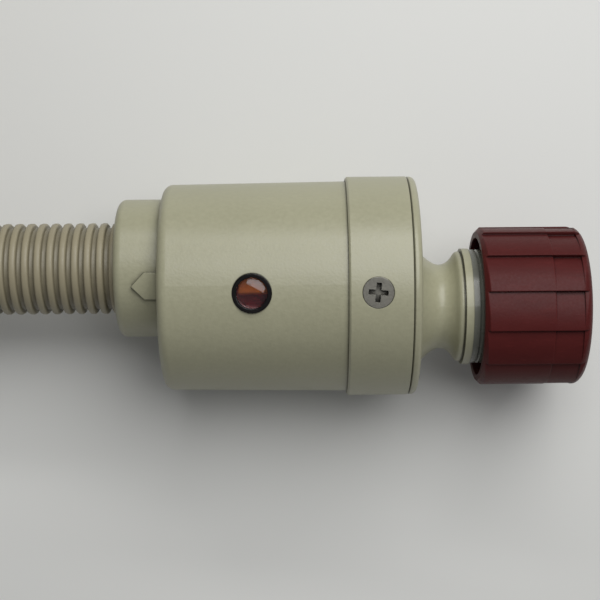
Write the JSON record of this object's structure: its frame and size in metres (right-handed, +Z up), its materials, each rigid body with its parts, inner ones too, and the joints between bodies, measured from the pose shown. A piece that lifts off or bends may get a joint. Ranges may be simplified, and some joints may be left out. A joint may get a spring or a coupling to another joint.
{
  "type": "water-stop inlet hose valve",
  "caption": "Round water-stop valve at the tap end of a corrugated appliance inlet hose, with an indicator window, a waisted neck and a swivelling ribbed union nut.",
  "frame": {"origin": "under the middle of the valve housing and its nut, measured without the hose, on the surface it lies on", "axes": "+X along the housing from the hose to the tap nut, +Y across, towards the hose's side of the offset, +Z up"},
  "size_m": [0.3731, 0.2456, 0.0515],
  "materials": {
    "housing_plastic": "fine moulded satin",
    "nut_plastic": "moulded, slightly glossy",
    "hose_plastic": "corrugated, satin",
    "grey_plastic": "smooth, glossy",
    "black_plastic": "smooth",
    "clear_plastic": "clear, polished",
    "flag_plastic": "smooth",
    "screw_steel": "dull zinc",
    "spring_steel": "bright wire",
    "seat_brass": "turned",
    "seal_rubber": "matt",
    "duct_plastic": "moulded",
    "filter_plastic": "moulded",
    "magnet_ferrite": "sintered, dark",
    "swelling_fibre": "pressed fibre",
    "ferrule_metal": "drawn",
    "inner_hose_rubber": "smooth",
    "tie_fabric": "hook-and-loop strap"
  },
  "bodies": {
    "housing": {"hose_collar": "housing_plastic", "main_barrel": "housing_plastic", "screw_ring": "housing_plastic", "end_cover": "housing_plastic", "window_bezel": "black_plastic", "indicator_lens": "clear_plastic", "ring_screws": "screw_steel", "thrust_ring": "grey_plastic", "inlet_tailpiece": "duct_plastic", "inlet_washer": "seal_rubber", "inlet_filter": "filter_plastic", "valve_body": "duct_plastic", "body_seal": "seal_rubber", "valve_seat": "seat_brass", "closing_spring": "spring_steel", "spring_retainer": "duct_plastic", "swelling_ring": "swelling_fibre", "backing_ring": "duct_plastic", "outlet_spigot": "duct_plastic", "inner_hose": "inner_hose_rubber", "crimp_ferrule": "ferrule_metal", "hose_jacket": "hose_plastic", "hose_coil": "hose_plastic", "hose_tail": "hose_plastic", "coil_ties": "tie_fabric", "machine_ferrule": "grey_plastic", "machine_tail": "grey_plastic", "machine_washer": "seal_rubber"},
    "union_slide": {"slip_ring": "duct_plastic"},
    "union": {"union_nut": "nut_plastic"},
    "trip": {"magnet_carrier": "duct_plastic", "ring_magnet": "magnet_ferrite", "indicator_flag": "flag_plastic"},
    "shutter_valve": {"shutter": "duct_plastic", "shutter_seal": "seal_rubber", "shutter_core": "magnet_ferrite"},
    "machine_union": {"machine_nut": "grey_plastic"}
  },
  "joints": [
    {"name": "union_slip", "type": "slide", "parent": "housing", "child": "union_slide", "axis": [1, 0, 0], "range_m": [-0.0015, 0]},
    {"name": "union_spin", "type": "hinge", "parent": "union_slide", "child": "union", "pos_m": [0.04111, -0.00435, 0.02225], "axis": [1, 0, 0], "continuous": true},
    {"name": "trip_slide", "type": "slide", "parent": "housing", "child": "trip", "axis": [1, 0, 0], "range_m": [0, 0.004], "deforming": ["swelling_ring"]},
    {"name": "shutter_slide", "type": "slide", "parent": "housing", "child": "shutter_valve", "axis": [-1, 0, 0], "range_m": [0, 0.004], "deforming": ["closing_spring"]},
    {"name": "machine_spin", "type": "hinge", "parent": "housing", "child": "machine_union", "pos_m": [-0.21063, -0.02441, 0.03593], "axis": [-0.931, -0.3647, 0.0155], "continuous": true}
  ],
  "couplings": [
    {"joint": "shutter_slide", "follows": "trip_slide", "ratio": 1}
  ]
}
